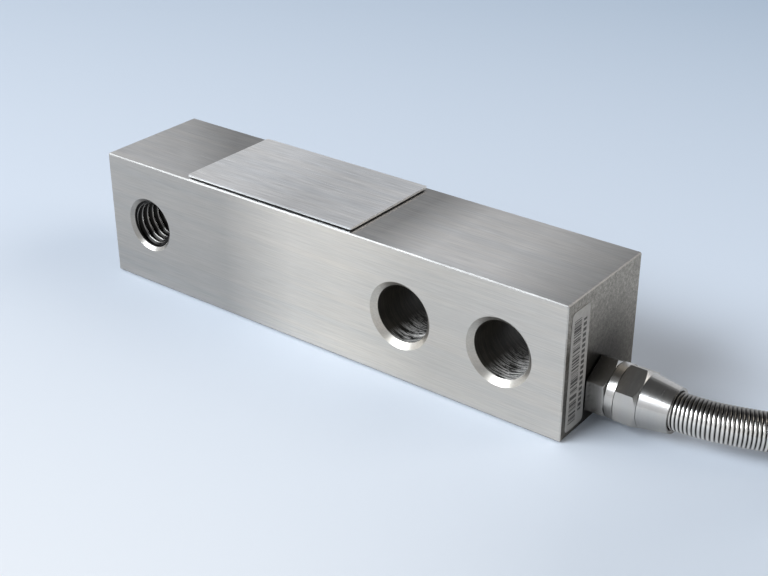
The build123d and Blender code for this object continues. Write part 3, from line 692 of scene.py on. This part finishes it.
# The gland: body, collared nut and armour ferrule, turned from stainless hexagon bar and screwed into the
# end face. The hexagons' flats are finely milled and the turned faces ringed by the tool. Its colour is
# painted darker low down and against the block, as painted shade.
LIT_HEIGHT = 0.008  # fully lit from this height up
LIT_PLACE = 0.0705  # and from this far along
gland_steel, tree, shader, streaked, place = grained_steel(
    "gland_steel",
    stretch=(2600.0, 180.0, 180.0),
    steel=(0.54, 0.534, 0.525),
    streaks=0.20,
    bands=0.15,
    sheen=0.24,
    bump=0.15,
)
x, _, z = axes_of(tree, place)
low_painted_shade = tone_along(tree, z, 0.0, LIT_HEIGHT, [(0.0, 0.38), (0.65, 0.66), (1.0, 1.0)])
root_painted_shade = tone_along(tree, x, HALF_LENGTH, LIT_PLACE, [(0.0, 0.62), (1.0, 1.0)])
gland_painted_shade = multiply(tree, low_painted_shade, root_painted_shade)
tree.links.new(multiply(tree, streaked, gland_painted_shade), shader.inputs["Base Color"])
for name in ("gland_body", "gland_nut", "armour_ferrule", "end_sleeve"):
    finish_node(name, gland_steel)

# The label: silver foil with glue on its back, pressed on to the end face beside the gland. It is printed
# with a strip of uneven plain bars and a column of small plain dashes.
BAR_ROWS = 190.0
BAR_START = 640.0  # where the bars' white noise begins
BAR_GAPS = 0.40  # the share of rows left bare
BAR_STRIP = (0.14, 0.54)  # shares of the label's width
BAR_RUN = (0.06, 0.93)  # and of its height
DASHES = 22.0
DASH_GAPS = 0.38
DASH_COLUMN = (0.66, 0.84)
DASH_RUN = (0.12, 0.90)
PRINT_INK = (0.035, 0.033, 0.033)
LABEL_LOW, LABEL_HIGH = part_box("rating_label")
label_foil, tree, shader = new_material("label_foil", 0.5)
_, y, z = axes_of(tree, object_place(tree))
across, up = (
    math_node(tree, "DIVIDE", math_node(tree, "SUBTRACT", axis, low), high - low)
    for axis, low, high in ((y, LABEL_LOW[1], LABEL_HIGH[1]), (z, LABEL_LOW[2], LABEL_HIGH[2]))
)
up_rows = math_node(tree, "ADD", math_node(tree, "MULTIPLY", up, BAR_ROWS), BAR_START)
bar_noise = add_node(tree, "ShaderNodeTexWhiteNoise", noise_dimensions="1D")
tree.links.new(math_node(tree, "FLOOR", up_rows), bar_noise.inputs["W"])
bars = math_node(tree, "GREATER_THAN", bar_noise.outputs["Value"], BAR_GAPS)
bars = math_node(tree, "MULTIPLY", bars, between(tree, across, *BAR_STRIP))
bars = math_node(tree, "MULTIPLY", bars, between(tree, up, *BAR_RUN))
dashes = math_node(tree, "FRACT", math_node(tree, "MULTIPLY", up, DASHES))
dashes = math_node(tree, "GREATER_THAN", dashes, DASH_GAPS)
dashes = math_node(tree, "MULTIPLY", dashes, between(tree, across, *DASH_COLUMN))
dashes = math_node(tree, "MULTIPLY", dashes, between(tree, up, *DASH_RUN))
inked = math_node(tree, "MAXIMUM", bars, dashes)
# The foil is painted dark grey, darker than bare foil, as painted shade on the shaded end face.
foil = place_speckle(tree, grey(0.28), grey(0.35), 700.0)
tree.links.new(blend(tree, inked, foil.outputs["Color"], PRINT_INK), shader.inputs["Base Color"])
finish_node("rating_label", label_foil)

# The lead: a jacketed cable inside a sheath of round stainless wire, wound close like a spring and gripped
# by the ferrule's cone. It bends towards the back and joins the tied coil beside the beam's gland end.
ARMOUR_DIAMETER = 0.0082
WIRE_DIAMETER = 0.00083
COIL_CENTRE = (0.1692, -0.0108)
COIL_ENTRY_ANGLE = 117.0
OUTER_TURN = 0.0451
INNER_TURN = 0.0369
SLOTS = 12  # places for a turn in the coil's section, filled from below
SLOT_SPAN = 345.0
SHIFT_SPAN = 60.0  # a turn moves to its next place over its last 60 degrees
LAST_SPAN = 200.0
COIL_STEP = 22.5
COIL_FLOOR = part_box("armour_coil")[0][2] + ARMOUR_DIAMETER / 2
ROUTE = [
    (0.07925, 0.0, GLAND_HEIGHT),
    (0.0865, 0.0, GLAND_HEIGHT),
    (0.0952, 0.0022, 0.0069),
    (0.1076, 0.0086, 0.00585),
    (0.11638, 0.01291, COIL_FLOOR),
    (0.12413, 0.01686, COIL_FLOOR),
]


def slot_place(slot):
    """A turn's radius and height in the coil's section: two columns, filled row by row, out, in, in, out."""
    outer = slot % 4 in (0, 3)
    return (OUTER_TURN if outer else INNER_TURN), COIL_FLOOR + (slot // 2) * ARMOUR_DIAMETER


def coil_point(swept):
    """A control point after that many degrees of winding, clockwise. It lies outside the curve by 1 over the
    cosine of half a step, and a shift follows 3 squares less 2 cubes of its share."""
    slot = min(int(swept // SLOT_SPAN), SLOTS - 1)
    share = 0.0
    if slot < SLOTS - 1:
        share = min(max((swept - slot * SLOT_SPAN - SLOT_SPAN + SHIFT_SPAN) / SHIFT_SPAN, 0.0), 1.0)
    share = share * share * (3 - 2 * share)
    (near, low), (far, high) = slot_place(slot), slot_place(min(slot + 1, SLOTS - 1))
    radius = (near + (far - near) * share) / math.cos(math.radians(COIL_STEP / 2))
    turned = math.radians(COIL_ENTRY_ANGLE - swept)
    return (
        COIL_CENTRE[0] + radius * math.cos(turned),
        COIL_CENTRE[1] + radius * math.sin(turned),
        low + (high - low) * share,
    )


# The lead's line is a smooth curve of the second degree over the route's and the coil's control points.
total_swept = (SLOTS - 1) * SLOT_SPAN + LAST_SPAN
swept_stops = np.append(np.arange(COIL_STEP / 2, total_swept, COIL_STEP), total_swept)
control = ROUTE + [coil_point(swept) for swept in swept_stops]
curve = bpy.data.curves.new("lead_line", "CURVE")
curve.dimensions = "3D"
spline = curve.splines.new("NURBS")
spline.points.add(len(control) - 1)
spline.points.foreach_set("co", np.array([(*point, 1.0) for point in control]).ravel())
spline.order_u = 3
spline.use_endpoint_u = True
spline.resolution_u = 12
guide = bpy.data.objects.new("lead_line", curve)
line_mesh = bpy.data.meshes.new_from_object(guide)
line = np.empty(3 * len(line_mesh.vertices), dtype=np.float32)
line_mesh.vertices.foreach_get("co", line)
line = line.reshape(-1, 3).astype(float)
bpy.data.meshes.remove(line_mesh)
bpy.data.objects.remove(guide)
bpy.data.curves.remove(curve)
along_line = np.concatenate([[0], np.cumsum(np.linalg.norm(np.diff(line, axis=0), axis=1))])
lead_length = float(along_line[-1])
LOOK_AHEAD = 0.0005  # the line's direction is taken between two places this far off
WIRE_ROUNDING = 0.98  # under 1, so that the wires' flanks don't stand upright where they touch
WIRE_STANDING = 0.3  # the share of its thickness by which the wire stands over the sheath's core


def line_places(stations):
    """Places on the lead's line, by straight runs between its points."""
    return np.stack([np.interp(stations, along_line, line[:, axis]) for axis in range(3)], axis=1)


def line_frames(stations):
    """Places on the lead's line and two unit vectors square to it: one level, one square to both."""
    forward = line_places(stations + LOOK_AHEAD) - line_places(stations - LOOK_AHEAD)
    forward /= np.linalg.norm(forward, axis=1)[:, None]
    side = np.cross(forward, [0.0, 0.0, 1.0])
    side /= np.linalg.norm(side, axis=1)[:, None]
    return line_places(stations), side, np.cross(side, forward)


def wire_relief(turns):
    """The wire's height over the sheath's core, 1 on the crest and 0 where two turns touch: half circles side
    by side, as a function of the number of pitches."""
    away = 2 * np.abs(turns % 1.0 - 0.5)
    return np.sqrt(np.maximum(1 - (away * WIRE_ROUNDING) ** 2, 0))


def sheath(stations, around, wound):
    """Points round the lead's line, their relief, and how far up each lies on its ring, from 0 to 1: at each
    station a ring, with the wire's height where wound and the core's elsewhere. The wire's phase moves on by
    one pitch with each turn of the angle, as a spring's."""
    centres, side, upward = line_frames(stations)
    angle = np.arange(around) * 2 * np.pi / around
    turns = stations[:, None] / WIRE_DIAMETER + angle[None, :] / (2 * np.pi)
    relief = np.where(wound[:, None], wire_relief(turns), 0.0)
    radius = ARMOUR_DIAMETER / 2 - (1 - relief) * WIRE_DIAMETER * WIRE_STANDING
    spokes = np.cos(angle)[None, :, None] * side[:, None] + np.sin(angle)[None, :, None] * upward[:, None]
    crown = np.broadcast_to(0.5 + 0.5 * np.sin(angle), relief.shape)
    return (centres[:, None] + radius[..., None] * spokes).reshape(-1, 3), relief.ravel(), crown.ravel()


def capped(points, rows, around):
    """Closes a tube of rings with one point at each end, at the middle of the end's ring; returns the points
    and the faces, as quads and triangles."""
    first, last = points[:around].mean(axis=0), points[-around:].mean(axis=0)
    count = rows * around
    ring = np.arange(around)
    after = (ring + 1) % around
    start_cap = np.stack([np.full(around, count), after, ring], axis=1)
    end_cap = np.stack([np.full(around, count + 1), ring + count - around, after + count - around], axis=1)
    faces = grid_faces(rows, around).tolist() + start_cap.tolist() + end_cap.tolist()
    return np.vstack([points, first, last]), faces


armour_wire, tree, shader, streaked, _ = grained_steel(
    "armour_wire",
    stretch=(900.0, 900.0, 900.0),
    steel=(0.97, 0.96, 0.95),
    streaks=0.20,
    bands=0.10,
    sheen=0.22,
    bump=0.05,
)
# The sheath's colour is painted by how far up round the lead a point lies: a band of painted highlight along
# its side, painted shade over its top, and a little darker below. Groove shade paints the gaps between the
# wires near black as shade.
crown_height = add_node(tree, "ShaderNodeAttribute", attribute_name="crown")
crown_painted_light = tone_along(tree, crown_height.outputs["Fac"], 0.0, 1.0, [
    (0.0, 0.72),
    (0.42, 0.76),
    (0.64, 1.0),
    (0.84, 1.0),
    (0.95, 0.36),
    (1.0, 0.25),
])
wire_colour = multiply(tree, streaked, crown_painted_light)
shade_grooves(tree, shader, wire_colour, root=0.01, flank=(0.65, 0.03), shoulder=(0.86, 0.68), crest=1.0)


def sheath_piece(name, stations, around, wound):
    """A closed stretch of the sheath, whose two end points lie at the root and half way up."""
    points, relief, crown = sheath(stations, around, wound)
    points, faces = capped(points, len(stations), around)
    relief, crown = np.append(relief, [0, 0]), np.append(crown, [0.5, 0.5])
    piece = mesh_piece(name, points, faces, armour_wire, relief=relief, crown=crown)
    return piece


# The stretch that shows close up gets every wire in full. Beyond it the lead is the sheath's core, and
# three lighter pieces carry the wire round the coil.
WOUND_LENGTH = 0.090
FINE_STEP = WIRE_DIAMETER / 8
COARSE_STEP = 0.0025
LEAD_AROUND = 40
coarse_count = int((lead_length - WOUND_LENGTH) / COARSE_STEP)
stations = np.concatenate([
    np.arange(0, WOUND_LENGTH, FINE_STEP),
    np.linspace(WOUND_LENGTH + FINE_STEP, lead_length, coarse_count),
])
lead = sheath_piece("armoured_lead", stations, LEAD_AROUND, stations < WOUND_LENGTH)
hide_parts("armour_tube", "armour_coil")

TURN_AROUND = 14
TURN_STEP = WIRE_DIAMETER / 3
TURN_PIECES = 3
turn_ends = np.linspace(WOUND_LENGTH - WIRE_DIAMETER, lead_length, TURN_PIECES + 1)
for number, (start, end) in enumerate(zip(turn_ends, turn_ends[1:])):
    stations = np.arange(start, end, TURN_STEP)
    wound = np.full(len(stations), True)
    sheath_piece(f"wound_wire_{number + 1}", stations, TURN_AROUND, wound)

# The coil's ties and the lead's free end: nylon ties pulled tight round the turns, a crimped end sleeve,
# the bare jacket, and the stripped cores with tinned tips.
finish_node("coil_ties", moulded("tie_nylon", (0.66, 0.66, 0.62), (0.76, 0.76, 0.72), 0.45, 500.0))
CORE_COLOURS = {
    "lead_red": ((0.45, 0.015, 0.015), (0.55, 0.03, 0.025)),
    "lead_black": ((0.012, 0.012, 0.012), (0.025, 0.025, 0.025)),
    "lead_green": ((0.01, 0.20, 0.05), (0.02, 0.28, 0.08)),
    "lead_white": ((0.70, 0.70, 0.68), (0.80, 0.80, 0.78)),
    "lead_shield": ((0.60, 0.42, 0.03), (0.70, 0.50, 0.05)),
}
for name, (dark, light) in CORE_COLOURS.items():
    finish_node(name, moulded(name, dark, light, 0.35, 700.0, coat=0.3))
tinned, *_ = grained_steel(
    "tinned_wire",
    stretch=(2000.0, 2000.0, 2000.0),
    steel=(0.70, 0.69, 0.67),
    streaks=0.3,
    bands=0.1,
    sheen=0.35,
    bump=0.2,
)
finish_node("lead_tips", tinned)
